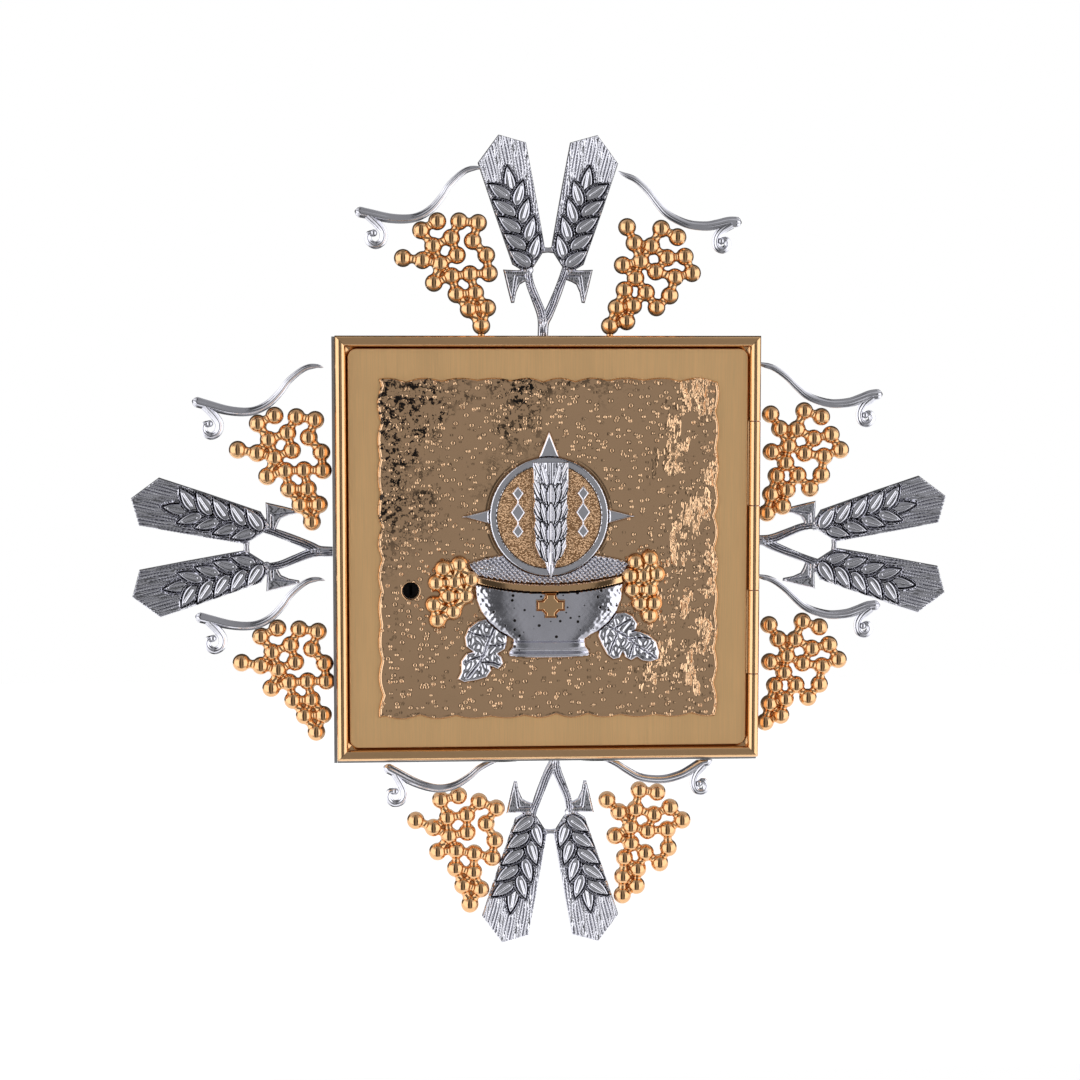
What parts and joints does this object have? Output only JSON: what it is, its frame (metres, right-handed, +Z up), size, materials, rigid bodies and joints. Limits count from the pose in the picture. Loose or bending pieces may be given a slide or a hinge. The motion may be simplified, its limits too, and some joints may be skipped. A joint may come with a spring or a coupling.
{
  "type": "tabernacle box",
  "caption": "Square wall tabernacle: steel box, round-beaded gilt frame, hinged locking gilt door with chalice relief, and cast grape, tendril and wheat ornaments round it.",
  "frame": {"origin": "middle of the frame, on the outer face of the back panel", "axes": "+Y into the wall behind, -Y out of the front, +X to the viewer's right, +Z up"},
  "size_m": [0.5804, 0.2602, 0.5764],
  "materials": {
    "steel": "satin sheet",
    "lining_gilt": "satin gilt",
    "frame_gilt": "polished gilt",
    "brushed_gilt": "vertically brushed pale gilt",
    "plaque_gilt": "polished and ring-punched gilt",
    "relief_gilt": "polished gilt",
    "relief_silver": "polished silver plate over hammered relief",
    "lock_dark": "dark oxide",
    "grape_gilt": "polished gilt casting",
    "cast_silver": "polished silver-plated casting"
  },
  "bodies": {
    "cabinet": {"back_panel": "steel", "left_wall": "steel", "right_wall": "steel", "top_wall": "steel", "bottom_wall": "steel", "hinge_pin": "steel", "bolt_keeper": "steel", "inner_lining": "lining_gilt", "frame_top_rail": "frame_gilt", "frame_left_stile": "frame_gilt", "frame_bottom_rail": "frame_gilt", "frame_hinge_stile": "frame_gilt", "grapes_top_left": "grape_gilt", "grapes_left_upper": "grape_gilt", "grapes_left_lower": "grape_gilt", "grapes_bottom_left": "grape_gilt", "grapes_top_right": "grape_gilt", "grapes_right_upper": "grape_gilt", "grapes_right_lower": "grape_gilt", "grapes_bottom_right": "grape_gilt", "tendril_top_left": "cast_silver", "tendril_left_upper": "cast_silver", "tendril_left_lower": "cast_silver", "tendril_bottom_left": "cast_silver", "tendril_top_right": "cast_silver", "tendril_right_upper": "cast_silver", "tendril_right_lower": "cast_silver", "tendril_bottom_right": "cast_silver", "wheat_top": "cast_silver", "wheat_left": "cast_silver", "wheat_right": "cast_silver", "wheat_bottom": "cast_silver"},
    "door": {"door_plate": "brushed_gilt", "door_plaque": "plaque_gilt", "door_knuckle_lower": "frame_gilt", "door_knuckle_upper": "frame_gilt", "halo_ring": "relief_silver", "halo_disc": "plaque_gilt", "ray_top": "relief_silver", "ray_left": "relief_silver", "ray_right": "relief_silver", "halo_drop_left": "relief_silver", "halo_drop_right": "relief_silver", "door_wheat_ear": "relief_silver", "chalice_bowl": "relief_silver", "chalice_cross": "relief_gilt", "chalice_rim": "relief_gilt", "bread": "relief_silver", "door_grapes_left": "relief_gilt", "door_grapes_right": "relief_gilt", "vine_leaf_left": "relief_silver", "vine_leaf_right": "relief_silver", "lock_case": "steel", "lock_cover": "steel", "lock_screw_1": "steel", "lock_screw_2": "steel"},
    "lock_cylinder": {"lock_cylinder": "lock_dark"},
    "lock_bolt": {"lock_bolt": "steel"}
  },
  "joints": [
    {"name": "door_hinge", "type": "hinge", "parent": "cabinet", "child": "door", "pos_m": [0.14615, -0.2475, 0], "axis": [0, 0, 1], "range_deg": [0, 110]},
    {"name": "bolt_slide", "type": "slide", "parent": "door", "child": "lock_bolt", "axis": [-1, 0, 0], "range_m": [0, 0.012]},
    {"name": "lock_turn", "type": "hinge", "parent": "door", "child": "lock_cylinder", "pos_m": [-0.0975, -0.235, -0.0293], "axis": [0, -1, 0], "range_deg": [0, 137.6]}
  ],
  "couplings": [
    {"joint": "lock_turn", "follows": "bolt_slide", "rad_per_m": 200}
  ]
}
